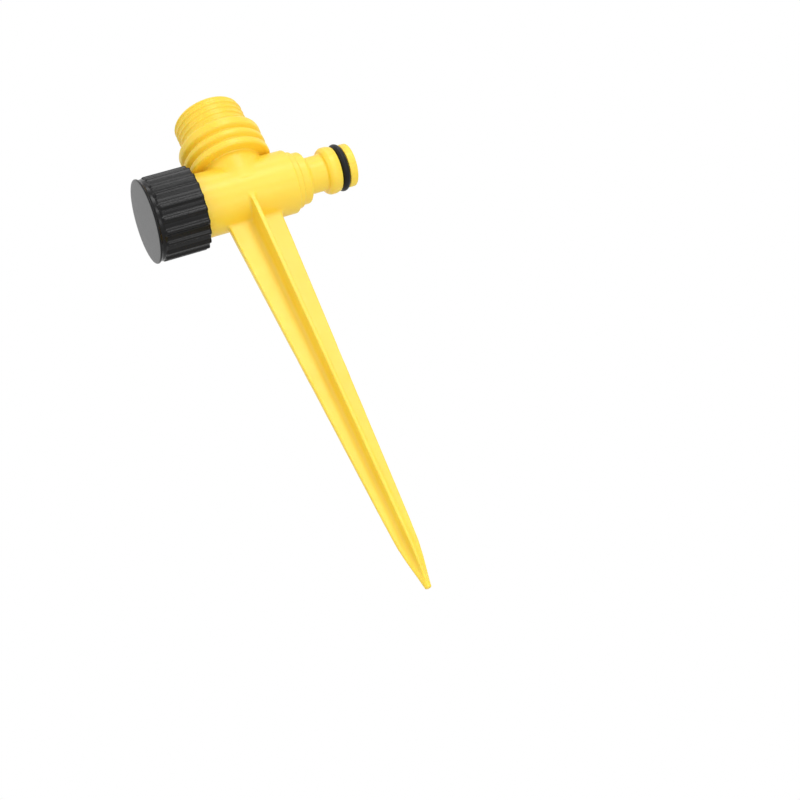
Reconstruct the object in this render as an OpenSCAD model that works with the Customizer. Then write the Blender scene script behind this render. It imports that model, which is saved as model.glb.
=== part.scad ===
// Ground spike base for a garden sprinkler.
// One moulding holds a threaded outlet on top, a plug-in hose nipple on one side, a threaded
// branch on the other side and a four-winged spike below. A screw cap with a flat gasket closes
// the branch, and an O-ring seals the nipple in its hose connector.
//
// Frame: the origin lies on the spike's axis at ground level, where the spike leaves the tube.
// +Z runs up through the outlet, +X runs out along the nipple. All sizes are millimetres.

/* [Cross tube] */
// Outer radius of the horizontal tube
tube_r = 11.9; // [11:0.1:14.4]
// Wall of the horizontal tube
tube_wall = 2.4; // [1.8:0.1:3]
// Distance from the spike axis to the tube's shoulder on the nipple side
shoulder_x = 18.5; // [17:0.5:24]
// Distance from the spike axis to the end of the branch under the cap
branch_x = 33.8; // [32:0.2:44]

/* [Nipple] */
// Radius of the larger step beside the tube's shoulder
step_r = 10.6; // [10:0.1:11]
// Length of the larger step
step_len = 2.2; // [1.6:0.2:4]
// Radius of the ring between the step and the neck
ring_r = 9.75; // [8:0.05:9.9]
// Length of the ring
ring_len = 3.6; // [2.4:0.2:6]
// Radius of the neck that a hose connector's latches close round
neck_r = 6.85; // [6.5:0.05:7.2]
// Length of the neck
neck_len = 7.4; // [5:0.2:9]
// Radius of the collar that the latches hook behind
collar_r = 8.85; // [7.4:0.05:10.6]
// Length of the collar
collar_len = 5; // [4:0.2:6.6]
// Fall of the collar's radius towards the O-ring
collar_taper = 0.5; // [0.2:0.05:0.7]
// Radius of the end lip in front of the O-ring
lip_r = 8.1; // [7.8:0.1:8.4]
// Length of the end lip
lip_len = 3.1; // [2.4:0.1:4.4]
// Wall left between the floor of the O-ring groove and the water way
nipple_wall = 1.4; // [1:0.1:1.8]

/* [Nipple O-ring] */
// Thickness of the O-ring's cord
oring_cord = 3; // [2.4:0.1:3.6]
// Room between the O-ring and the floor and walls of its groove
oring_gap = 0.06; // [0.03:0.01:0.15]

/* [Outlet] */
// Height of the outlet's rim above the tube's axis
outlet_h = 36.2; // [35.8:0.2:44]
// Radius of the water way up through the outlet
outlet_bore_r = 8.6; // [7:0.1:9.2]
// Wall between the outlet's water way and the root of its fine thread
outlet_wall = 3.7; // [3.2:0.1:4.4]
// Pitch of the fine thread
fine_pitch = 2.35; // [2:0.05:2.45]
// Depth of the fine thread
fine_depth = 0.9; // [0.7:0.1:1.1]
// Height of the fine thread's stretch above the highest coarse ridge
fine_stretch = 12.2; // [11.6:0.1:14.4]
// Step from the fine thread's crests out to the crests of the coarse ridges
coarse_step = 2.75; // [2:0.05:3]
// Distance from one coarse ridge to the next
coarse_pitch = 4.2; // [3.6:0.1:4.3]
// Depth of the valleys between the coarse ridges
coarse_depth = 1.6; // [1.2:0.1:2]
// Number of coarse ridges
coarse_count = 3; // [2:1:3]
// Extra length of the highest coarse ridge, which ends in the shoulder below the fine thread
coarse_crown = 1.4; // [0:0.1:2.2]

/* [Branch thread] */
// Rise of the branch thread's root over the tube
branch_rise = 0.2; // [0.15:0.05:0.5]
// Pitch of the branch thread, and so the cap's travel for each turn
branch_pitch = 2.3; // [1.9:0.1:2.8]
// Depth of the branch thread
branch_depth = 1.1; // [0.9:0.05:1.3]
// Turns of thread on the branch
branch_turns = 4; // [3:0.5:4.5]

/* [End cap] */
// Wall of the cap, from its thread out to the valleys of its grip ribs
cap_wall = 1.4; // [1.1:0.1:2.4]
// Length of the cap
cap_len = 19.6; // [16.4:0.2:20.4]
// Thickness of the cap's flat end
cap_end_t = 2; // [1.6:0.1:2.6]
// Length of the raised rim round the cap's flat end
cap_rim_len = 1.2; // [0.8:0.1:1.6]
// Distance from the cap's flat end to the start of the grip ribs
cap_band_len = 2.6; // [2:0.2:4]
// Depth of the smooth band between the rim and the grip ribs
cap_band_depth = 0.5; // [0.2:0.1:0.7]
// Number of grip ribs round the cap
rib_count = 20; // [16:1:24]
// Depth of the valleys between the grip ribs
rib_depth = 0.8; // [0.5:0.1:1]
// Radius of the round cutter that leaves each valley
rib_cutter_r = 1.4; // [1:0.1:1.6]
// Turns of thread inside the cap
cap_thread_turns = 3; // [2:0.5:3.5]
// Room between the threads of the cap and the branch, measured from the axis
thread_gap = 0.25; // [0.2:0.05:0.35]

/* [Cap gasket] */
// Thickness of the flat gasket
gasket_t = 1.8; // [1.2:0.1:2.4]
// Room between the gasket's outer edge and the cap's wall
gasket_gap = 0.2; // [0.1:0.05:0.4]
// Width of the gasket's flat ring
gasket_w = 3.8; // [3:0.1:4.6]

/* [Spike] */
// Length of the spike below the tube's underside
spike_len = 150; // [120:1:190]
// Half width of the side wings at ground level
wing_half_w = 10.3; // [8.5:0.1:13.2]
// Half width of the side wings where the point starts
wing_point_half_w = 4.2; // [3:0.1:6]
// Thickness of the side wings at ground level
wing_t = 2.6; // [2:0.1:3.4]
// Reach of the front and rear wings from the axis at ground level
rib_half_w = 10.1; // [9:0.1:13.2]
// Reach of the front and rear wings where the point starts
rib_point_half_w = 5; // [3:0.1:6]
// Thickness of the front and rear wings at ground level
rib_t = 1.7; // [1.4:0.1:3]
// Thickness of every wing where the point starts
point_t = 1.4; // [1.2:0.1:2]
// Length of the curved point
point_len = 21; // [12:1:26]
// Half width left at the blunt tip
tip_half_w = 0.5; // [0.3:0.1:1]

/* [Hidden] */
$fn = 96;

yellow = [0.97, 0.76, 0.2];
black = [0.07, 0.07, 0.075];
rubber = [0.03, 0.03, 0.03];

axis_z = tube_r;                              // height of the tube's axis above ground level
edge = 0.6;                                   // chamfer on moulded edges
lap = 0.4;                                    // how far one solid reaches into the next
over = 1;                                     // how far a cutter reaches past a face

// Cross tube and nipple, counted outward from the spike axis
tube_bore_r = tube_r - tube_wall;
tube_bore_end = shoulder_x - tube_wall;
step_x = shoulder_x + step_len;
ring_x = step_x + ring_len;
neck_x = ring_x + neck_len;
collar_x = neck_x + collar_len;
groove_x = collar_x + oring_cord + 2 * oring_gap;
nipple_x = groove_x + lip_len;
groove_r = collar_r - oring_cord;
collar_land = 2;                              // level stretch of the collar before it tapers
nipple_bore_r = groove_r - nipple_wall;

// Outlet, counted upward from the tube's axis
neck_gap = 0.1;                               // the outlet's neck is this much slimmer than the tube
outlet_neck_r = tube_r - neck_gap;
fine_root_r = outlet_bore_r + outlet_wall;
fine_r = fine_root_r + fine_depth;
rim_chamfer = 0.9;                            // chamfer that the fine thread runs out through
thread_tail = 1.4;                            // turns that a threaded plug needs beyond its ridge
fine_bury = 0.7;                              // the threaded plug starts this far inside the ridge
fine_low_z = outlet_h - fine_stretch - fine_bury;
fine_len = fine_stretch + fine_bury + fine_pitch; // the thread runs out through the rim's chamfer
fine_turns = fine_len / fine_pitch - thread_tail;
coarse_r = fine_r + coarse_step;
coarse_root_r = coarse_r - coarse_depth;
cone_h = 2;                                   // cone from the fine thread out to the first ridge
coarse_high_z = outlet_h - fine_stretch;
coarse_foot = 2.5;                            // height of the lowest ridge below its valley
coarse_crown_z = coarse_high_z - coarse_crown;
coarse_low_z = coarse_crown_z - (coarse_count - 1) * coarse_pitch - coarse_foot;
coarse_bevel = 0.25 * coarse_pitch;           // length of the bevel on each side of a valley
coarse_valley = 0.1 * coarse_pitch;           // length of a valley's floor

// Branch, cap and gasket, counted outward from the spike axis away from the nipple
branch_root_r = tube_r + branch_rise;
branch_thread_r = branch_root_r + branch_depth;
branch_lead = 1;                              // plain stretch at the branch's open end
branch_plug_len = (branch_turns + thread_tail) * branch_pitch;
branch_plug_x = branch_x - branch_lead - branch_plug_len;
cap_bore_r = branch_thread_r + thread_gap;
cap_valley_r = cap_bore_r + cap_wall;
cap_r = cap_valley_r + rib_depth;
cap_floor_x = branch_x + gasket_t;
cap_face_x = cap_floor_x + cap_end_t;
cap_mouth_x = cap_face_x - cap_len;
cap_plug_len = (cap_thread_turns + thread_tail) * branch_pitch;
cap_plug_x = branch_x - branch_lead - cap_plug_len;
cap_band_x = cap_face_x - cap_band_len;
cap_band_r = cap_r - cap_band_depth;
cap_rim_x = cap_face_x - cap_rim_len;
gasket_r = cap_bore_r - gasket_gap;
rib_phase = 0.5;                              // turn of the screwed-home cap, as a share of a rib

// Spike, counted downward from ground level
wing_top_z = axis_z - tube_bore_r - lap;      // the wings end inside the tube's wall
rib_top_z = 0.12 * tube_r;                    // where the front wing's edge bends back to the tube
point_z = point_len - spike_len;
point_steps = 10;                             // straight lengths in the curved point
tip_t = 0.8;                                  // thickness left at the blunt tip

thread_fn = 40;                               // flat lengths in one turn of a thread

// Ridge outline of a thread over one pitch: the place along the axis as a share of the pitch,
// and the height as a share of the depth.
male_ridge = [[0.12, 0], [0.42, 1], [0.58, 1], [0.88, 0]];
female_ridge = [[0.16, 0], [0.44, 1], [0.56, 1], [0.84, 0]];

function polar(r, a, z) = [r * cos(a), r * sin(a), z];

// Share of the full height at one step of a ridge, which rises and sinks over half a turn
function fade(step, last) = min(1, step / (thread_fn / 2), (last - step) / (thread_fn / 2));

// Round plug with a right-handed helical ridge, from low_z up by len. A negative depth makes a
// groove's cutter into one with an inward ridge. phase shifts the helix by a share of the pitch.
// The surface is closed: rows of points follow the helix, strips join one turn to the next, and
// flat ends close it.
module threaded_plug(root_r, depth, pitch, turns, low_z, len, ridge, phase = 0) {
    n = thread_fn;
    last = round(turns * n);
    rows = len(ridge);
    start_z = low_z + (len - (turns + 1) * pitch) / 2;
    start_a = 360 * (start_z / pitch + phase);
    high_z = low_z + len;
    helix = [
        for (i = [0:last]) for (p = ridge)
            polar(root_r + depth * p[1] * fade(i, last), start_a + 360 * i / n,
                  start_z + (i / n + p[0]) * pitch)
    ];
    low_ring = [for (k = [0:n - 1]) polar(root_r, start_a + 360 * k / n, low_z)];
    high_ring = [for (k = [0:n - 1]) polar(root_r, start_a + 360 * (last + k) / n, high_z)];
    function at(i, j) = i * rows + j;
    function top(i) = at(i, rows - 1);
    function low(k) = len(helix) + k % n;
    function high(k) = len(helix) + n + k % n;
    function quad(a, b, c, d) = [[a, b, c], [a, c, d]];
    ridge_faces = [
        for (i = [0:last - 1]) for (j = [0:rows - 2])
            each quad(at(i, j), at(i, j + 1), at(i + 1, j + 1), at(i + 1, j))
    ];
    root_faces = [
        for (i = [0:last - n - 1]) each quad(top(i), at(i + n, 0), at(i + n + 1, 0), top(i + 1))
    ];
    low_faces = [for (i = [0:n - 2]) each quad(low(i), at(i, 0), at(i + 1, 0), low(i + 1))];
    low_seam = [
        [at(n - 1, 0), at(n, 0), top(0)],
        for (j = [rows - 2:-1:0]) [at(n - 1, 0), at(0, j + 1), at(0, j)],
        [at(n - 1, 0), at(0, 0), low(0)],
        [at(n - 1, 0), low(0), low(n - 1)]
    ];
    high_faces = [
        for (k = [1:n - 1]) let (i = last - n + k)
            each quad(top(i), high(k), high(k + 1), top(i + 1))
    ];
    seam = last - n + 1;
    high_seam = [
        [top(seam), top(seam - 1), at(last, 0)],
        for (j = [0:rows - 2]) [top(seam), at(last, j), at(last, j + 1)],
        [top(seam), top(last), high(0)],
        [top(seam), high(0), high(1)]
    ];
    low_end = [[for (k = [0:n - 1]) low(k)]];
    high_end = [[for (k = [n - 1:-1:0]) high(k)]];
    polyhedron(
        concat(helix, low_ring, high_ring),
        concat(ridge_faces, root_faces, low_faces, low_seam, high_faces, high_seam,
               low_end, high_end));
}

// Places its children on the tube's axis, with their z running out along the nipple
module toward_nipple() {
    translate([0, 0, axis_z]) rotate([0, 90, 0]) children();
}

// Places its children on the tube's axis, with their z running out along the branch
module toward_branch() {
    translate([0, 0, axis_z]) rotate([0, -90, 0]) children();
}

// Cutter for a round water way, from the middle of the tube out past the end of what it opens
module water_way(r, len) {
    cylinder(r = r, h = len + over);
}

// Tube with its rounded shoulder
module tube() {
    toward_nipple() rotate_extrude() polygon([
        [0, -branch_x], [tube_r - edge, -branch_x], [tube_r, edge - branch_x],
        [tube_r, shoulder_x - 2 * edge], [tube_r - edge, shoulder_x - edge / 2],
        [tube_r - 2 * edge, shoulder_x], [0, shoulder_x]
    ]);
}

// Stepped ring, neck, collar, O-ring groove and lip as one turned outline
module nipple() {
    color(yellow) toward_nipple() difference() {
        rotate_extrude() polygon([
            [0, shoulder_x], [step_r, shoulder_x], [step_r, step_x], [ring_r, step_x],
            [ring_r, ring_x - edge], [ring_r - edge, ring_x], [neck_r, ring_x],
            [neck_r, neck_x - edge], [collar_r - 2 * edge, neck_x],
            [collar_r - edge / 2, neck_x + edge], [collar_r, neck_x + 2 * edge],
            [collar_r, neck_x + 2 * edge + collar_land], [collar_r - collar_taper, collar_x],
            [groove_r, collar_x],
            [groove_r, groove_x], [lip_r - edge / 2, groove_x], [lip_r, groove_x + edge / 2],
            [lip_r, nipple_x - edge / 2], [lip_r - edge / 2, nipple_x], [0, nipple_x]
        ]);
        water_way(nipple_bore_r, nipple_x);
    }
}

// Coarse ridges with beveled valleys between them. The cone above runs out to the first ridge.
module coarse_ridges() {
    valleys = [
        for (k = [coarse_count - 1:-1:1]) let (z = coarse_crown_z - k * coarse_pitch) each [
            [coarse_r, z],
            [coarse_root_r, z + coarse_bevel],
            [coarse_root_r, z + coarse_bevel + coarse_valley],
            [coarse_r, z + 2 * coarse_bevel + coarse_valley]
        ]
    ];
    rotate_extrude() polygon([
        [0, coarse_low_z], [coarse_r - edge, coarse_low_z], [coarse_r, coarse_low_z + edge],
        each valleys,
        [coarse_r, coarse_high_z], [fine_root_r + lap / 2, coarse_high_z + cone_h],
        [0, coarse_high_z + cone_h]
    ]);
}

// Turned outline that ends the fine thread at the rim and its chamfer
module rim_envelope() {
    rotate_extrude() polygon([
        [0, fine_low_z - over], [fine_r + over, fine_low_z - over],
        [fine_r + over, outlet_h - rim_chamfer - over], [fine_r - rim_chamfer, outlet_h],
        [0, outlet_h]
    ]);
}

// Ridges and thread above the tube, with the rim on top
module outlet() {
    color(yellow) translate([0, 0, axis_z]) difference() {
        union() {
            coarse_ridges();
            intersection() {
                threaded_plug(fine_root_r, fine_depth, fine_pitch, fine_turns, fine_low_z, fine_len,
                              male_ridge);
                rim_envelope();
            }
        }
        water_way(outlet_bore_r, outlet_h);
    }
}

// Half width of a wing along the curved point, t running from 0 at its start to 1 at the tip.
// It leaves along the wing's own taper.
function point_w(t, w, taper) =
    w - taper * point_len * t - (w - taper * point_len - tip_half_w) * t * t;

// Flat winged blade in the XZ plane. top gives its outline above ground level, right side only.
module blade(w, w_point, t, top) {
    taper = (w - w_point) / (spike_len - point_len);
    right = [
        each top,
        [w, 0],
        for (i = [0:point_steps])
            [point_w(i / point_steps, w_point, taper), point_z - point_len * i / point_steps]
    ];
    left = [for (i = [len(right) - 1:-1:0]) [-right[i][0], right[i][1]]];
    high = top[0][1];
    side = [[t / 2, high], [t / 2, 0], [point_t / 2, point_z], [tip_t / 2, -spike_len]];
    side_left = [for (i = [3:-1:0]) [-side[i][0], side[i][1]]];
    intersection() {
        rotate([90, 0, 0]) linear_extrude(t + 2, center = true) polygon(concat(right, left));
        rotate([90, 0, 90]) linear_extrude(2 * w + 2, center = true)
            polygon(concat(side, side_left));
    }
}

// Side wings, and front and rear ribs that run up to the tube's front and back
module blades() {
    flare = 1.2;                              // the side wings widen by this into the tube
    blade(wing_half_w, wing_point_half_w, wing_t,
          [[wing_half_w + flare, wing_top_z], [wing_half_w + flare, flare]]);
    rotate([0, 0, 90])
        blade(rib_half_w, rib_point_half_w, rib_t,
              [[rib_half_w / 2, axis_z], [0.97 * rib_half_w, 0.42 * tube_r], [rib_half_w, rib_top_z]]);
}

// The blades below ground level
module ground_spike() {
    w = 2 * max(wing_half_w, rib_half_w) + over;
    color(yellow) intersection() {
        blades();
        translate([-w / 2, -w / 2, -spike_len - over]) cube([w, w, spike_len + over]);
    }
}

// Tube with the branch's thread, the blades' tops, and the neck that carries the outlet
module cross_tube() {
    w = 2 * (max(wing_half_w, rib_half_w, tube_r) + over);
    color(yellow) difference() {
        union() {
            tube();
            translate([0, 0, axis_z]) cylinder(r = outlet_neck_r, h = coarse_low_z);
            toward_branch()
                threaded_plug(branch_root_r, branch_depth, branch_pitch, branch_turns,
                              branch_plug_x, branch_plug_len, male_ridge);
            intersection() {
                blades();
                translate([-w / 2, -w / 2, 0]) cube([w, w, 2 * axis_z]);
            }
        }
        translate([0, 0, axis_z]) coarse_ridges();
        toward_nipple() translate([0, 0, -branch_x - over])
            cylinder(r = tube_bore_r, h = branch_x + over + tube_bore_end);
        toward_nipple() water_way(nipple_bore_r, shoulder_x);
        translate([0, 0, axis_z]) water_way(outlet_bore_r, coarse_low_z);
    }
}

module inlet_o_ring() {
    color(rubber) toward_nipple()
        translate([0, 0, collar_x + oring_gap + oring_cord / 2])
        rotate_extrude()
        translate([groove_r + oring_gap + oring_cord / 2, 0]) circle(d = oring_cord, $fn = 32);
}

// Valleys between the cap's grip ribs, from the open end up to the smooth band
module grip_valleys() {
    cutter_x = cap_valley_r + rib_cutter_r;
    for (k = [0:rib_count - 1])
        rotate([0, 0, 360 * (k + rib_phase) / rib_count])
        translate([cutter_x, 0, cap_mouth_x - over])
        cylinder(r = rib_cutter_r, h = cap_band_x - cap_mouth_x + over, $fn = 24);
}

module end_cap() {
    color(black) toward_branch() difference() {
        rotate_extrude() polygon([
            [0, cap_mouth_x], [cap_r, cap_mouth_x], [cap_r, cap_band_x - edge],
            [cap_band_r, cap_band_x + edge], [cap_band_r, cap_rim_x], [cap_r, cap_rim_x + edge],
            [cap_r, cap_face_x - edge / 2], [cap_r - edge / 2, cap_face_x], [0, cap_face_x]
        ]);
        grip_valleys();
        translate([0, 0, cap_mouth_x - over])
            cylinder(r = cap_bore_r + lap / 2, h = cap_plug_x - cap_mouth_x + over + lap);
        threaded_plug(cap_bore_r, -branch_depth, branch_pitch, cap_thread_turns, cap_plug_x,
                      cap_plug_len, female_ridge, 0.5);
        translate([0, 0, cap_plug_x + cap_plug_len - lap])
            cylinder(r = cap_bore_r + lap / 2, h = cap_floor_x - cap_plug_x - cap_plug_len + lap);
    }
}

module cap_gasket() {
    color(rubber) toward_branch() translate([0, 0, branch_x]) difference() {
        cylinder(r = gasket_r, h = gasket_t);
        translate([0, 0, -over]) cylinder(r = gasket_r - gasket_w, h = gasket_t + 2 * over);
    }
}

ground_spike();
cross_tube();
outlet();
nipple();
inlet_o_ring();
end_cap();
cap_gasket();
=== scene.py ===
"""Looks for the sprinkler ground spike base: one yellow moulding, a ribbed black cap, its gasket
and an O-ring. Lengths are in millimetres until a mesh is made. X runs out along the nipple, and Z
up along the outlet."""

import math

import bpy
import numpy as np
from mathutils import Matrix, Vector


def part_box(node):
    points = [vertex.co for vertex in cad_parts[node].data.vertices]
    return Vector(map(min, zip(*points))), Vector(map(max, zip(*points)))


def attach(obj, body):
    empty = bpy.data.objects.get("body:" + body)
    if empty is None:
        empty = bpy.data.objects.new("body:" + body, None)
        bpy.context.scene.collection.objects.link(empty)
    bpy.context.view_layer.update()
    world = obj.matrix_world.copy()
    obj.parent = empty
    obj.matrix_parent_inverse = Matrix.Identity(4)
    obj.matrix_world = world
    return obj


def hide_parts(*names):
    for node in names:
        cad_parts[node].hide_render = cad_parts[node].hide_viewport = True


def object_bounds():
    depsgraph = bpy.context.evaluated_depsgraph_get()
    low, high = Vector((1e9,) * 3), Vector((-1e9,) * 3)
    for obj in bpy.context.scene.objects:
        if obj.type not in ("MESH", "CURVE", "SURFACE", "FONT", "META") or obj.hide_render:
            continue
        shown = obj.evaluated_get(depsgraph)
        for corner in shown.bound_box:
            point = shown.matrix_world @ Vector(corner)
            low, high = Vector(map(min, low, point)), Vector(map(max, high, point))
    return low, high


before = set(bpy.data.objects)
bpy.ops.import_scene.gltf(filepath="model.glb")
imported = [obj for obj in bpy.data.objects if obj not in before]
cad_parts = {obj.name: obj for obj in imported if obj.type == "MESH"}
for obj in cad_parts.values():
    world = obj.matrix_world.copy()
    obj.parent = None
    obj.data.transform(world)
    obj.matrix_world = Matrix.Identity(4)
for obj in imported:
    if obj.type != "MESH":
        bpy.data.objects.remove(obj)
CAD_BOX = [list(corner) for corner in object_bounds()]
MM = 0.001


def node_box(node):
    low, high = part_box(node)
    return np.array(low) / MM, np.array(high) / MM


# Landmarks from the frame
TUBE_LOW = node_box("cross_tube")[0]
OUTLET_LOW, OUTLET_HIGH = node_box("outlet")
NIPPLE_LOW, NIPPLE_HIGH = node_box("nipple")
SPIKE_LOW, SPIKE_HIGH = node_box("ground_spike")
CAP_LOW, CAP_HIGH = node_box("end_cap")
RING_LOW, RING_HIGH = node_box("inlet_o_ring")
GASKET_LOW = node_box("cap_gasket")[0]

AXIS_Z = (CAP_LOW[2] + CAP_HIGH[2]) / 2
TUBE_R = AXIS_Z
BRANCH_X = -TUBE_LOW[0]
SHOULDER_X = NIPPLE_LOW[0]
NIPPLE_X = NIPPLE_HIGH[0]
RIM_Z = OUTLET_HIGH[2] - AXIS_Z
FOOT_Z = OUTLET_LOW[2] - AXIS_Z
COARSE_R = OUTLET_HIGH[0]
TIP_Z = SPIKE_LOW[2]
WING_W = SPIKE_HIGH[0]
RIB_W = SPIKE_HIGH[1]
CAP_R = (CAP_HIGH[2] - CAP_LOW[2]) / 2
CAP_FACE = -CAP_LOW[0]
CAP_MOUTH = -CAP_HIGH[0]
CAP_FLOOR = -GASKET_LOW[0]
RING_X = (RING_LOW[0] + RING_HIGH[0]) / 2
CORD = RING_HIGH[0] - RING_LOW[0]
RING_R = (RING_HIGH[2] - RING_LOW[2]) / 2

# Sizes repeated from the part's source
TUBE_BORE_R = 9.5
TUBE_BORE_END = 16.1
NIPPLE_BORE_R = 4.45
OUTLET_BORE_R = 8.6
STEP_R, STEP_X = 10.6, 20.7
BAND_R, BAND_X = 9.75, 24.3
NECK_R, NECK_X = 6.85, 31.7
COLLAR_R, COLLAR_X, COLLAR_TAPER = 8.85, 36.7, 0.5
GROOVE_R, GROOVE_X = 5.85, 39.82
LIP_R = 8.1
OUTLET_NECK_R = 11.8
FINE_PITCH, FINE_TURNS, FINE_LOW_Z, FINE_LEN, RIM_CHAMFER = 2.35, 5.09, 23.3, 15.25, 0.9
COARSE_DEPTH, COARSE_PITCH, COARSE_HIGH_Z, COARSE_CROWN, CONE_H = 1.6, 4.2, 24.0, 1.4, 2.0
VALLEY_R = COARSE_R - COARSE_DEPTH
BRANCH_ROOT_R, BRANCH_DEPTH, BRANCH_PITCH, BRANCH_TURNS = 12.1, 1.1, 2.3, 4.0
BRANCH_LOW, BRANCH_LEN = 20.38, 12.42
CAP_BORE_R, CAP_TURNS, CAP_THREAD_LOW, CAP_THREAD_LEN = 13.45, 3.0, 22.68, 10.12
RIB_COUNT, RIB_DEPTH, RIB_PHASE = 20, 0.8, 0.5
CAP_RIM_LEN, BAND_LEN, BAND_DEPTH = 1.2, 2.6, 0.5
WING_POINT_W, WING_T = 4.2, 2.6
RIB_POINT_W, RIB_T = 5.0, 1.7
POINT_T, POINT_LEN, TIP_W, TIP_T = 1.4, 21.0, 0.5, 0.8
MALE = (0.12, 0.42, 0.58, 0.88)
FEMALE = (0.16, 0.44, 0.56, 0.84)

# The fine thread's valleys are drawn shallower than the source's, by FINE_FILL
FINE_FILL = 0.25
FINE_ROOT_R, FINE_DEPTH = 12.3 + FINE_FILL, 0.9 - FINE_FILL

# Fillets and rounded edges of the moulding
OUTLET_FILLET, SPIKE_FILLET, WING_FILLET, THREAD_FILLET = 0.9, 1.4, 2.4, 0.3
BLADE_EDGE, HOLE_EDGE, BORE_FILLET, CHAMFER_EDGE = 0.35, 0.35, 0.4, 0.4

# A thread's flank is steep, so its distance is scaled down to stay below the true one
FLANK_SCALE = 0.62

FADE_TURNS = 0.5        # a thread rises to its full depth, and ends, over this much of a turn
WING_TOP_Z = 2.2        # the side wings end inside the tube's wall
ARC_STEPS = 7           # points on an outline's fillet
STRAIGHT = 1.55         # half angle, in radians, above which a corner is too flat for a fillet

# The cap's rounded edges and inner chamfer, and how much its bore widens beside the thread
CAP_EDGE, MOUTH_EDGE, MOUTH_CHAMFER, THREAD_RELIEF = 0.35, 0.5, 0.4, 0.2

# Half a valley and one slope as shares of the ribs' pitch, and the length over which they rise
RIB_VALLEY, RIB_SLOPE, RIB_RISE = 0.17, 0.31, 1.1
RIB_SEGMENTS = 22       # round the cap, for each rib


# ---------------------------------------------------------------- outlines and distances


def filleted(corners):
    """An outline with an arc at each (along, radius, fillet) corner."""
    pts = np.array([c[:2] for c in corners], float)
    out = [pts[0]]
    for i in range(1, len(pts) - 1):
        p, want = pts[i], corners[i][2]
        a, b = pts[i - 1] - p, pts[i + 1] - p
        la, lb = np.hypot(*a), np.hypot(*b)
        a, b = a / la, b / lb
        half = math.acos(np.clip(a @ b, -1, 1)) / 2
        if want <= 0 or half > STRAIGHT:
            out.append(p)
            continue
        reach = min(want / math.tan(half), 0.49 * la, 0.49 * lb)
        r = reach * math.tan(half)
        mid = (a + b) / np.hypot(*(a + b))
        centre = p + mid * r / math.sin(half)
        start, end = p + a * reach - centre, p + b * reach - centre
        a0, a1 = math.atan2(start[1], start[0]), math.atan2(end[1], end[0])
        turn = (a1 - a0 + math.pi) % (2 * math.pi) - math.pi
        for t in np.linspace(0, 1, ARC_STEPS):
            out.append(centre + r * np.array([math.cos(a0 + turn * t), math.sin(a0 + turn * t)]))
    out.append(pts[-1])
    return np.array(out)


class Turned:
    """Signed distance to a turned solid, looked up in a table over (along, radius)."""

    STEP = 0.1
    MARGIN = 6
    LARGEST_R = 26

    def __init__(self, corners):
        outline = filleted(corners)
        mirrored = outline[::-1] * [1, -1]
        poly = np.vstack([outline, mirrored])
        self.low = outline[:, 0].min() - self.MARGIN
        count = int((outline[:, 0].max() + self.MARGIN - self.low) / self.STEP) + 2
        rows = int(self.LARGEST_R / self.STEP)
        along, radius = self.low + self.STEP * np.arange(count), self.STEP * np.arange(rows)
        a, r = np.meshgrid(along, radius, indexing="ij")
        best = np.full(a.shape, 1e9)
        inside = np.zeros(a.shape, bool)
        for p, q in zip(poly, np.roll(poly, -1, 0)):
            e = q - p
            size = e @ e
            if size < 1e-12:
                continue
            t = np.clip(((a - p[0]) * e[0] + (r - p[1]) * e[1]) / size, 0, 1)
            best = np.minimum(best, (a - p[0] - t * e[0]) ** 2 + (r - p[1] - t * e[1]) ** 2)
            if p[1] != q[1]:
                crosses = (p[1] > r) != (q[1] > r)
                inside ^= crosses & (a < p[0] + (r - p[1]) * e[0] / e[1])
        self.table = np.where(inside, -1, 1) * np.sqrt(best)

    def __call__(self, along, radius):
        u = np.clip((along - self.low) / self.STEP, 0, self.table.shape[0] - 1.001)
        v = np.clip(radius / self.STEP, 0, self.table.shape[1] - 1.001)
        i, j = u.astype(np.int32), v.astype(np.int32)
        u, v = u - i, v - j
        t = self.table
        return (t[i, j] * (1 - u) + t[i + 1, j] * u) * (1 - v) + (
            t[i, j + 1] * (1 - u) + t[i + 1, j + 1] * u
        ) * v


def join(a, b, k):
    """Union with a fillet of about k."""
    h = np.maximum(k - np.abs(a - b), 0) / k
    return np.minimum(a, b) - h * h * k / 4


def cut(a, b, k):
    """a without b, with a rounded edge of about k."""
    return -join(-a, b, k)


def smooth(t):
    t = np.clip(t, 0, 1)
    return t * t * (3 - 2 * t)


def ridge(p, shape):
    """Height of a thread's ridge, 0 to 1, at a place p of its pitch."""
    a, b, c, d = shape
    return smooth((p - a) / (b - a)) * smooth((d - p) / (d - c))


def thread(along, angle, pitch, turns, low, length, shape, phase=0.0):
    """Share of the full depth of a right-handed thread, which fades in and out at its ends."""
    start = low + (length - (turns + 1) * pitch) / 2
    place = along / pitch - angle / (2 * math.pi) + phase
    p = place - np.floor(place)
    turn = (along - start) / pitch - p
    fade = np.clip(np.minimum(turn, turns - turn) / FADE_TURNS, 0, 1)
    return ridge(p, shape) * smooth(fade)


def blade(across, through, half_w, half_t):
    """A flat blade with rounded edges, from its half width and half thickness at each height."""
    a = np.abs(across) - (half_w - BLADE_EDGE)
    b = np.abs(through) - (half_t - BLADE_EDGE)
    outside = np.hypot(np.maximum(a, 0), np.maximum(b, 0))
    return outside + np.minimum(np.maximum(a, b), 0) - BLADE_EDGE


def spike_width(z, width, point_w, top):
    """Half width of a blade at height z. top lists (z, half width) above ground level."""
    length = -TIP_Z
    taper = (width - point_w) / (length - POINT_LEN)
    heights = [point[0] for point in top]
    widths = [point[1] for point in top]
    w = np.interp(z, [POINT_LEN - length, 0] + heights, [point_w, width] + widths)
    t = np.clip((POINT_LEN - length - z) / POINT_LEN, 0, 1)
    start = taper * POINT_LEN
    curved = point_w - start * t - (point_w - start - TIP_W) * t * t
    return np.where(z < POINT_LEN - length, curved, w)


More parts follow.
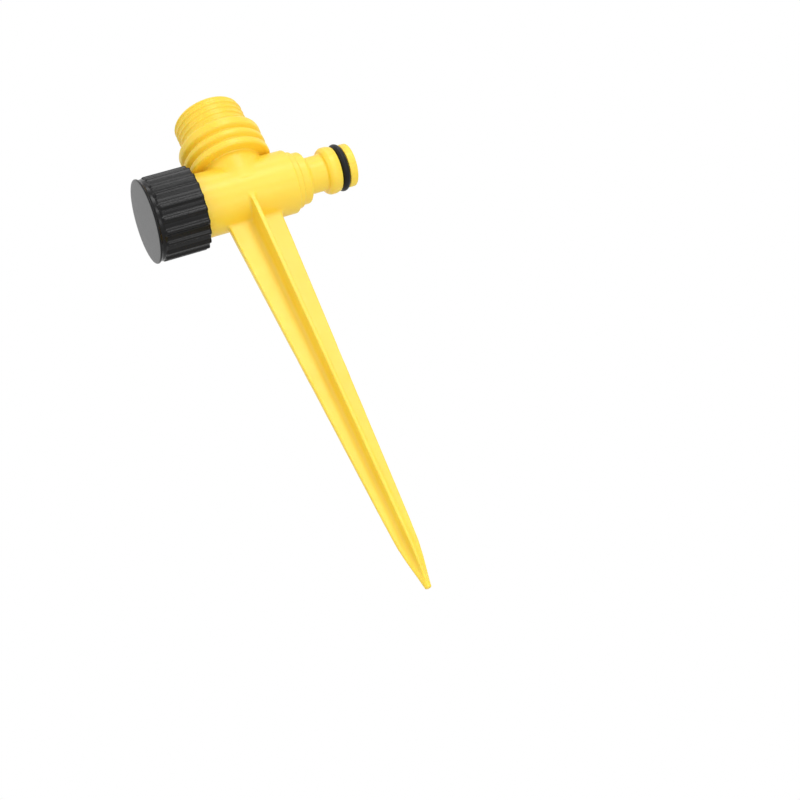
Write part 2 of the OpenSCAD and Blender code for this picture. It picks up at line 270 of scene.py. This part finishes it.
def spike_half_t(z, full):
    return np.interp(z, [TIP_Z, POINT_LEN + TIP_Z, 0], [TIP_T / 2, POINT_T / 2, full / 2])


TUBE = Turned([
    (-BRANCH_X, 0, 0), (-BRANCH_X, TUBE_R, 0.5), (SHOULDER_X, TUBE_R, 1.9),
    (SHOULDER_X, STEP_R, 0.15), (STEP_X, STEP_R, 0.45), (STEP_X, BAND_R, 0.25),
    (BAND_X, BAND_R, 1.0), (BAND_X + 0.1, NECK_R, 1.3), (NECK_X - 0.1, NECK_R, 1.3),
    (NECK_X, COLLAR_R - 0.9, 0.8), (NECK_X + 1.2, COLLAR_R, 1.6), (NECK_X + 3.2, COLLAR_R, 3.0),
    (COLLAR_X, COLLAR_R - COLLAR_TAPER, 0.35), (COLLAR_X, GROOVE_R, 0.3),
    (GROOVE_X, GROOVE_R, 0.3), (GROOVE_X, LIP_R, 0.3), (NIPPLE_X, LIP_R, 0.5), (NIPPLE_X, 0, 0),
])
BEVEL, FLOOR = 0.25 * COARSE_PITCH, 0.1 * COARSE_PITCH
CROWN_Z = COARSE_HIGH_Z - COARSE_CROWN
VALLEY_1, VALLEY_2 = CROWN_Z - COARSE_PITCH, CROWN_Z - 2 * COARSE_PITCH
OUTLET = Turned([
    (0, 0, 0), (0, OUTLET_NECK_R, 0), (FOOT_Z, OUTLET_NECK_R, 0.5),
    (FOOT_Z, COARSE_R, 0.9),
    (VALLEY_2, COARSE_R, 1.0), (VALLEY_2 + BEVEL, VALLEY_R, 0.35),
    (VALLEY_2 + BEVEL + FLOOR, VALLEY_R, 0.35), (VALLEY_2 + 2 * BEVEL + FLOOR, COARSE_R, 1.0),
    (VALLEY_1, COARSE_R, 1.0), (VALLEY_1 + BEVEL, VALLEY_R, 0.35),
    (VALLEY_1 + BEVEL + FLOOR, VALLEY_R, 0.35), (VALLEY_1 + 2 * BEVEL + FLOOR, COARSE_R, 1.0),
    (COARSE_HIGH_Z, COARSE_R, 2.4), (COARSE_HIGH_Z + CONE_H, FINE_ROOT_R + 0.2, 0.5),
    (RIM_Z, FINE_ROOT_R, 0.3), (RIM_Z, 0, 0),
])


def moulding(x, y, z):
    """Signed distance to the yellow moulding, z from ground level."""
    up = z - AXIS_Z
    around_x, around_z = np.hypot(y, up), np.hypot(x, y)
    tube = TUBE(x, around_x)
    branch = thread(-x, np.arctan2(y, up), BRANCH_PITCH, BRANCH_TURNS, BRANCH_LOW, BRANCH_LEN, MALE)
    stretch = np.maximum(-x - (BRANCH_LOW + BRANCH_LEN), x + BRANCH_LOW)
    collar = np.maximum(stretch, around_x - BRANCH_ROOT_R)
    collar = np.maximum(collar, (around_x - BRANCH_ROOT_R - BRANCH_DEPTH * branch) * FLANK_SCALE)
    body = join(tube, collar, THREAD_FILLET)
    fine = thread(up, np.arctan2(y, x), FINE_PITCH, FINE_TURNS, FINE_LOW_Z, FINE_LEN, MALE)
    outlet = OUTLET(up, around_z)
    plug = np.maximum(np.maximum(up - FINE_LOW_Z - FINE_LEN, FINE_LOW_Z - up),
                      (around_z - FINE_ROOT_R - FINE_DEPTH * fine) * FLANK_SCALE)
    chamfer = (around_z + up - FINE_ROOT_R - FINE_DEPTH + RIM_CHAMFER - RIM_Z) / math.sqrt(2)
    plug = cut(plug, -np.maximum(chamfer, up - RIM_Z), CHAMFER_EDGE)
    outlet = join(outlet, plug, THREAD_FILLET)
    body = join(body, outlet, OUTLET_FILLET)
    wing_top = [(1.2, WING_W + 1.2), (8, WING_W + 1.2)]
    rib_top = [(0.12 * TUBE_R, RIB_W), (0.42 * TUBE_R, 0.97 * RIB_W), (AXIS_Z, RIB_W / 2)]
    wing_w = spike_width(z, WING_W, WING_POINT_W, wing_top)
    wing = np.maximum(blade(x, y, wing_w, spike_half_t(z, WING_T)), z - WING_TOP_Z)
    rib_w = spike_width(z, RIB_W, RIB_POINT_W, rib_top)
    rib = np.maximum(blade(y, x, rib_w, spike_half_t(z, RIB_T)), z - AXIS_Z)
    spike = np.maximum(join(wing, rib, WING_FILLET), TIP_Z - z)
    body = join(body, spike, SPIKE_FILLET)
    hole = np.maximum(around_x - TUBE_BORE_R, x - TUBE_BORE_END)
    hole = np.minimum(hole, np.maximum(around_x - NIPPLE_BORE_R, -x))
    hole = join(hole, np.maximum(around_z - OUTLET_BORE_R, -up), BORE_FILLET)
    return cut(body, hole, HOLE_EDGE)


# ---------------------------------------------------------------- meshes

FAR = 9.0                       # stands for the distance where it isn't worked out
SPIKE_X, SPIKE_Z = 14, -2.0     # below SPIKE_Z the moulding stays within SPIKE_X
NEWTON_STEPS, REACH = 4, 0.6    # moves onto the surface, and how many cells a point may go
GRADIENT_STEP = 0.03

def steps(*stretches):
    """Grid lines from (end, spacing) stretches that follow one another."""
    lines = [stretches[0][0]]
    for (start, _), (end, spacing) in zip(stretches, stretches[1:]):
        count = max(1, round((end - start) / spacing))
        lines += list(start + (end - start) * np.arange(1, count + 1) / count)
    return np.array(lines)


def field(distance, xs, ys, zs):
    """The distance on the grid. Below the tube only the spike's own stretch of x is worked out."""
    values = np.full((len(xs), len(ys), len(zs)), FAR, np.float32)
    near = np.flatnonzero(np.abs(xs) < SPIKE_X)
    below = np.searchsorted(zs, SPIKE_Z)
    spike = slice(near[0], near[-1] + 1), slice(0, below)
    for i, k in (spike, (slice(None), slice(below, None))):
        x, y, z = np.meshgrid(xs[i], ys, zs[k], indexing="ij")
        values[i, :, k] = distance(x, y, z)
    return values


def surface(distance, xs, ys, zs):
    """Points and quads of the zero surface: one point in each cell it crosses, moved onto it."""
    f = field(distance, xs, ys, zs)
    inside = f < 0
    shape = tuple(n - 1 for n in f.shape)
    corner = [(a, b, c) for a in (0, 1) for b in (0, 1) for c in (0, 1)]
    total = np.zeros(shape, np.int8)
    for a, b, c in corner:
        total += inside[a:a + shape[0], b:b + shape[1], c:c + shape[2]]
    cells = np.argwhere((total > 0) & (total < 8))
    where = np.full(shape, -1, np.int32)
    where[tuple(cells.T)] = np.arange(len(cells))
    grid = (xs, ys, zs)
    got = {c: f[tuple((cells + c).T)] for c in corner}
    at = {c: np.stack([grid[n][cells[:, n] + c[n]] for n in range(3)], 1) for c in corner}
    points, weight = np.zeros((len(cells), 3)), np.zeros(len(cells))
    for p in corner:
        for n in range(3):
            if p[n]:
                continue
            q = tuple(1 if m == n else p[m] for m in range(3))
            change = (got[p] < 0) != (got[q] < 0)
            t = np.where(change, got[p] / np.where(change, got[p] - got[q], 1), 0)
            points += change[:, None] * (at[p] + t[:, None] * (at[q] - at[p]))
            weight += change
    points /= weight[:, None]
    room = np.stack([np.diff(grid[n])[cells[:, n]] for n in range(3)], 1)
    home = points.copy()
    for _ in range(NEWTON_STEPS):
        d, g = distance(*points.T), gradient(distance, points)
        points = points - d[:, None] * g / np.maximum((g * g).sum(1), 0.1)[:, None]
        points = np.clip(points, home - REACH * room, home + REACH * room)
    quads = []
    for n in range(3):
        here = [slice(0, -1) if m == n else slice(1, -1) for m in range(3)]
        there = [slice(1, None) if m == n else slice(1, -1) for m in range(3)]
        a, b = inside[tuple(here)], inside[tuple(there)]
        edge = np.argwhere(a != b)
        out = a[tuple(edge.T)]
        edge = edge + [0 if m == n else 1 for m in range(3)]
        u, v = [m for m in range(3) if m != n]
        if n == 1:
            u, v = v, u
        ring = []
        for du, dv in ((1, 1), (0, 1), (0, 0), (1, 0)):
            cell = edge.copy()
            cell[:, u] -= du
            cell[:, v] -= dv
            ring.append(where[tuple(cell.T)])
        ring = np.stack(ring, 1)
        quads.append(np.where(out[:, None], ring, ring[:, ::-1]))
    return points, np.vstack(quads)


def gradient(distance, points):
    h = GRADIENT_STEP
    out = []
    for n in range(3):
        step = np.zeros(3)
        step[n] = h
        out.append((distance(*(points + step).T) - distance(*(points - step).T)) / (2 * h))
    return np.stack(out, 1)


def make(name, points, faces, body, slot, replaces, material, normals=None):
    """A mesh object from points in millimetres that stands for CAD nodes and rides on a body."""
    mesh = bpy.data.meshes.new(name)
    mesh.from_pydata((points * MM).tolist(), [], [list(f) for f in faces])
    mesh.validate()
    mesh.polygons.foreach_set("use_smooth", [True] * len(mesh.polygons))
    if normals is not None:
        mesh.normals_split_custom_set_from_vertices(normals.tolist())
    mesh.update()
    mesh.materials.append(material)
    obj = bpy.data.objects.new(name, mesh)
    bpy.context.scene.collection.objects.link(obj)
    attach(obj, body)
    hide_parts(*replaces)
    return obj


def lathe(rows, segments):
    """Points and faces of a closed turned skin. rows give (along, radius) arrays for each segment,
    and the first and last row are single points on the axis. Along runs to -X."""
    angles = 2 * math.pi * np.arange(segments) / segments
    points, faces = [], []
    for along, radius in rows[1:-1]:
        along = np.broadcast_to(along, angles.shape)
        radius = np.broadcast_to(radius, angles.shape)
        up = AXIS_Z + radius * np.cos(angles)
        points.append(np.stack([-along, radius * np.sin(angles), up], 1))
    points = np.vstack(points)
    count = len(rows) - 2
    k = np.arange(segments)
    nxt = (k + 1) % segments
    for i in range(count - 1):
        a, b = i * segments, (i + 1) * segments
        faces += np.stack([a + k, a + nxt, b + nxt, b + k], 1).tolist()
    ends = np.array([[-rows[0][0], 0, AXIS_Z], [-rows[-1][0], 0, AXIS_Z]])
    first, last = len(points), len(points) + 1
    faces += [[first, int(n), int(m)] for m, n in zip(k, nxt)]
    base = (count - 1) * segments
    faces += [[last, base + int(m), base + int(n)] for m, n in zip(k, nxt)]
    return np.vstack([points, ends]), faces


def cap_rows(segments):
    """Rows of the cap from the middle of its face, over the rim, the band and the ribs, and back
    down its threaded bore."""
    angles = 2 * math.pi * np.arange(segments) / segments
    place = RIB_COUNT * angles / (2 * math.pi) - RIB_PHASE
    bead = smooth((np.abs(place - np.round(place)) - RIB_VALLEY) / RIB_SLOPE)
    ribs = CAP_R - RIB_DEPTH * (1 - bead)
    edge = CAP_EDGE
    rows = [(CAP_FACE, 0)]
    for r in np.linspace(1, CAP_R - edge, 14):
        rows.append((CAP_FACE, r))
    for t in np.linspace(0.15, 1, 5):
        a = t * math.pi / 2
        rows.append((CAP_FACE - edge + edge * math.cos(a), CAP_R - edge + edge * math.sin(a)))
    for back in np.concatenate([np.linspace(edge + 0.1, CAP_RIM_LEN + 0.1, 7),
                                np.linspace(CAP_RIM_LEN + 0.3, BAND_LEN - 0.6, 3),
                                np.linspace(BAND_LEN - 0.5, BAND_LEN + 0.8, 9),
                                np.linspace(BAND_LEN + 1.4, CAP_FACE - CAP_MOUTH - 0.7, 12)]):
        rim = 1 - smooth((back - edge - 0.1) / (CAP_RIM_LEN - edge))
        rise = smooth((back - BAND_LEN + 0.4) / RIB_RISE)
        plain = CAP_R - BAND_DEPTH * (1 - rim)
        rows.append((CAP_FACE - back, plain * (1 - rise) + ribs * rise))
    side = rows[-1][1]
    for t in np.linspace(0.15, 1, 6):
        a = t * math.pi / 2
        along = CAP_MOUTH + MOUTH_EDGE * (1 - math.sin(a))
        rows.append((along, side - MOUTH_EDGE * (1 - math.cos(a))))
    for t in np.linspace(0, 1, 5):
        a = t * math.pi / 2
        along = CAP_MOUTH + MOUTH_CHAMFER * (1 - math.cos(a))
        rows.append((along, CAP_BORE_R + 0.6 - MOUTH_CHAMFER * math.sin(a)))
    for x in np.linspace(CAP_MOUTH + 2 * MOUTH_CHAMFER, CAP_FLOOR - 0.05, 90):
        height = thread(x, angles, BRANCH_PITCH, CAP_TURNS, CAP_THREAD_LOW, CAP_THREAD_LEN,
                        FEMALE, 0.5)
        before = 1 - smooth((x - CAP_THREAD_LOW) / 0.5)
        after = smooth((x - CAP_THREAD_LOW - CAP_THREAD_LEN + 0.4) / 0.5)
        plain = THREAD_RELIEF * (before + after)
        rows.append((x, CAP_BORE_R + plain - BRANCH_DEPTH * height))
    for r in np.linspace(CAP_BORE_R - 0.1, 1, 10):
        rows.append((CAP_FLOOR, r))
    rows.append((CAP_FLOOR, 0))
    return rows


def torus(x, major, minor, segments, sides):
    a = 2 * math.pi * np.arange(segments) / segments
    b = 2 * math.pi * np.arange(sides) / sides
    a, b = np.meshgrid(a, b, indexing="ij")
    r = major + minor * np.cos(b)
    points = np.stack([x + minor * np.sin(b), r * np.sin(a), AXIS_Z + r * np.cos(a)], -1)
    points = points.reshape(-1, 3)
    i, j = np.meshgrid(np.arange(segments), np.arange(sides), indexing="ij")
    ring, nxt = i * sides, (i + 1) % segments * sides
    faces = np.stack([ring + j, ring + (j + 1) % sides, nxt + (j + 1) % sides, nxt + j], -1)
    return points, faces.reshape(-1, 4)


# ---------------------------------------------------------------- materials


class Nodes:
    """A material's nodes, with short calls to add and link them."""

    def __init__(self, name):
        self.material = bpy.data.materials.new(name)
        self.material.use_nodes = True
        self.tree = self.material.node_tree
        self.shader = self.tree.nodes["Principled BSDF"]
        self.place = self.tree.nodes.new("ShaderNodeTexCoord").outputs["Object"]

    def add(self, kind, **inputs):
        node = self.tree.nodes.new(kind)
        for key, value in inputs.items():
            self.put(node, key.replace("_", " "), value)
        return node

    def put(self, node, key, value):
        if isinstance(value, bpy.types.NodeSocket):
            self.tree.links.new(value, node.inputs[key])
        else:
            node.inputs[key].default_value = value

    def noise(self, scale, detail=3.0, roughness=0.5):
        return self.add("ShaderNodeTexNoise", Vector=self.place, Scale=scale, Detail=detail,
                        Roughness=roughness).outputs["Fac"]

    def ramp(self, value, stops):
        node = self.tree.nodes.new("ShaderNodeValToRGB")
        while len(node.color_ramp.elements) < len(stops):
            node.color_ramp.elements.new(0.5)
        for element, (at, colour) in zip(node.color_ramp.elements, stops):
            element.position = at
            element.color = (*colour, 1)
        self.tree.links.new(value, node.inputs["Fac"])
        return node.outputs["Color"]

    def span(self, value, low, high):
        node = self.tree.nodes.new("ShaderNodeMapRange")
        node.inputs["To Min"].default_value = low
        node.inputs["To Max"].default_value = high
        self.tree.links.new(value, node.inputs["Value"])
        return node.outputs["Result"]

    def bump(self, height, distance, strength):
        node = self.tree.nodes.new("ShaderNodeBump")
        node.inputs["Distance"].default_value = distance
        node.inputs["Strength"].default_value = strength
        self.tree.links.new(height, node.inputs["Height"])
        return node.outputs["Normal"]

    def set(self, **inputs):
        for key, value in inputs.items():
            self.put(self.shader, key.replace("_", " "), value)
        return self.material


def yellow_plastic():
    n = Nodes("yellow_plastic")
    flow = n.noise(35, 2)
    colour = n.ramp(flow, [(0.3, (0.95, 0.645, 0.042)), (0.7, (0.97, 0.69, 0.054))])
    grain = n.noise(2600, 2)
    return n.set(Base_Color=colour, Roughness=n.span(n.noise(220), 0.34, 0.46),
                 Normal=n.bump(grain, 0.00002, 0.35), IOR=1.49, Specular_IOR_Level=0.6,
                 Subsurface_Weight=0.25, Subsurface_Radius=(0.004, 0.0018, 0.0003),
                 Subsurface_Scale=0.6)


def black_plastic():
    n = Nodes("black_plastic")
    colour = n.ramp(n.noise(300),
                    [(0.3, (0.0028, 0.0028, 0.0030)), (0.7, (0.0056, 0.0055, 0.0058))])
    grain = n.noise(4200, 3)
    return n.set(Base_Color=colour, Roughness=n.span(n.noise(500), 0.20, 0.27),
                 Normal=n.bump(grain, 0.00003, 0.4), IOR=1.5, Specular_IOR_Level=0.22)


def rubber(name, low, high, shade):
    n = Nodes(name)
    colour = n.ramp(n.noise(600), [(0.3, (shade, shade, shade)), (0.7, (shade * 1.7,) * 3)])
    return n.set(Base_Color=colour, Roughness=n.span(n.noise(900), low, high),
                 Normal=n.bump(n.noise(5000), 0.00002, 0.4), IOR=1.52,
                 Specular_IOR_Level=0.25)


# ---------------------------------------------------------------- the object

YELLOW, BLACK = yellow_plastic(), black_plastic()

xs = steps((-BRANCH_X - 0.5, 0), (-3, 0.68), (3, 0.34), (17.5, 0.66), (NIPPLE_X + 0.5, 0.32))
ys = steps((-COARSE_R - 0.4, 0), (-2, 0.51), (2, 0.34), (COARSE_R + 0.4, 0.51))
zs = steps((TIP_Z - 0.7, 0), (TIP_Z + POINT_LEN, 0.55), (-2, 1.6), (AXIS_Z + FOOT_Z - 1, 0.47),
           (OUTLET_HIGH[2] + 0.5, 0.33))
points, quads = surface(moulding, xs, ys, zs)
low, high = np.array(CAD_BOX) / MM
points = np.clip(points, low, high)
slope = gradient(moulding, points)
make("yellow_moulding", points, quads, "manifold", "yellow_plastic",
     ("ground_spike", "cross_tube", "outlet", "nipple"), YELLOW,
     slope / np.linalg.norm(slope, axis=1)[:, None])

cap_segments = RIB_COUNT * RIB_SEGMENTS
make("ribbed_cap", *lathe(cap_rows(cap_segments), cap_segments), "cap", "black_plastic",
     ("end_cap",), BLACK)
make("o_ring", *torus(RING_X, RING_R - CORD / 2, CORD / 2, 144, 28), "manifold", "o_ring_rubber",
     ("inlet_o_ring",), rubber("o_ring_rubber", 0.35, 0.5, 0.003))
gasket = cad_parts["cap_gasket"]
gasket.data.materials.clear()
gasket.data.materials.append(rubber("gasket_rubber", 0.6, 0.75, 0.012))

# ---------------------------------------------------------------- camera, floor and light

FOCAL_PX, FRAME_PX = 1700.0, 800.0      # the lens in pixels of an 800-pixel frame
RIGHT, UP, BACK = (0.918, -0.107, -0.381), (0.283, -0.494, 0.822), (-0.276, -0.863, -0.423)
CAMERA_PLACE = (-0.1732, -0.5087, AXIS_Z * MM - 0.3104)
SHIFT_X, SHIFT_Y = 0.1496, -0.0743      # the object is up and left of the photo's middle
camera = bpy.data.objects.new("camera", bpy.data.cameras.new("camera"))
camera.data.sensor_width = 36
camera.data.lens = FOCAL_PX / FRAME_PX * camera.data.sensor_width
camera.data.shift_x, camera.data.shift_y = SHIFT_X, SHIFT_Y
camera.data.clip_start = 0.01
turn = Matrix((RIGHT, UP, BACK)).transposed()
camera.matrix_world = Matrix.Translation(Vector(CAMERA_PLACE)) @ turn.to_4x4()
bpy.context.scene.collection.objects.link(camera)
bpy.context.scene.camera = camera


def area_light(name, place, size, power, target=(0, 0, -0.02)):
    light = bpy.data.lights.new(name, "AREA")
    light.shape = "DISK"
    light.size = size
    light.energy = power
    obj = bpy.data.objects.new(name, light)
    obj.location = place
    aim = Vector(target) - Vector(place)
    obj.rotation_euler = aim.to_track_quat("-Z", "Y").to_euler()
    obj.visible_camera = False
    bpy.context.scene.collection.objects.link(obj)


# Each lamp's name, place and diameter in metres, power in watts, and target where it has its own
for lamp in (("key", (0.30, -0.92, 0.42), 0.38, 2.5, (0, 0, -0.05)),
             ("fill", (-0.8, -0.5, 0.25), 0.9, 1.2),
             ("front", (0.19, -0.77, -0.13), 0.18, 0.7),
             ("low", (0.12, -0.38, -0.33), 0.12, 0.18),
             ("top", (0.22, -0.43, 0.80), 0.22, 0.7)):
    area_light(*lamp)

floor_mesh = bpy.data.meshes.new("floor")
FLOOR_Z, FLOOR_R = -0.40, 30
floor_corners = [(x * FLOOR_R, y * FLOOR_R, FLOOR_Z)
                 for x, y in ((-1, -1), (1, -1), (1, 1), (-1, 1))]
floor_mesh.from_pydata(floor_corners, [], [(0, 1, 2, 3)])
floor = bpy.data.objects.new("floor", floor_mesh)
bpy.context.scene.collection.objects.link(floor)
pale = Nodes("pale_floor")
floor_mesh.materials.append(pale.set(
    Base_Color=pale.ramp(pale.noise(3), [(0.2, (0.90, 0.90, 0.90)), (0.8, (0.93, 0.93, 0.93))]),
    Roughness=0.8))

world = bpy.data.worlds.new("studio")
bpy.context.scene.world = world
world.use_nodes = True
tree = world.node_tree
tree.nodes.clear()
out = tree.nodes.new("ShaderNodeOutputWorld")

# White as the camera, gloss and glass see it, and dimmer as a light
SEEN_STRENGTH, LIT_STRENGTH = 1.0, 0.73
seen, lit = tree.nodes.new("ShaderNodeBackground"), tree.nodes.new("ShaderNodeBackground")
for background, strength in ((seen, SEEN_STRENGTH), (lit, LIT_STRENGTH)):
    background.inputs["Color"].default_value = (1, 1, 1, 1)
    background.inputs["Strength"].default_value = strength
mix = tree.nodes.new("ShaderNodeMixShader")
path = tree.nodes.new("ShaderNodeLightPath")
rays = [path.outputs[f"Is {kind} Ray"] for kind in ("Camera", "Glossy", "Transmission")]
total = rays[0]
for ray in rays[1:]:
    most = tree.nodes.new("ShaderNodeMath")
    most.operation = "MAXIMUM"
    tree.links.new(total, most.inputs[0])
    tree.links.new(ray, most.inputs[1])
    total = most.outputs[0]
tree.links.new(total, mix.inputs["Fac"])
tree.links.new(lit.outputs[0], mix.inputs[1])
tree.links.new(seen.outputs[0], mix.inputs[2])
tree.links.new(mix.outputs[0], out.inputs["Surface"])

bpy.context.scene.view_settings.view_transform = "Standard"
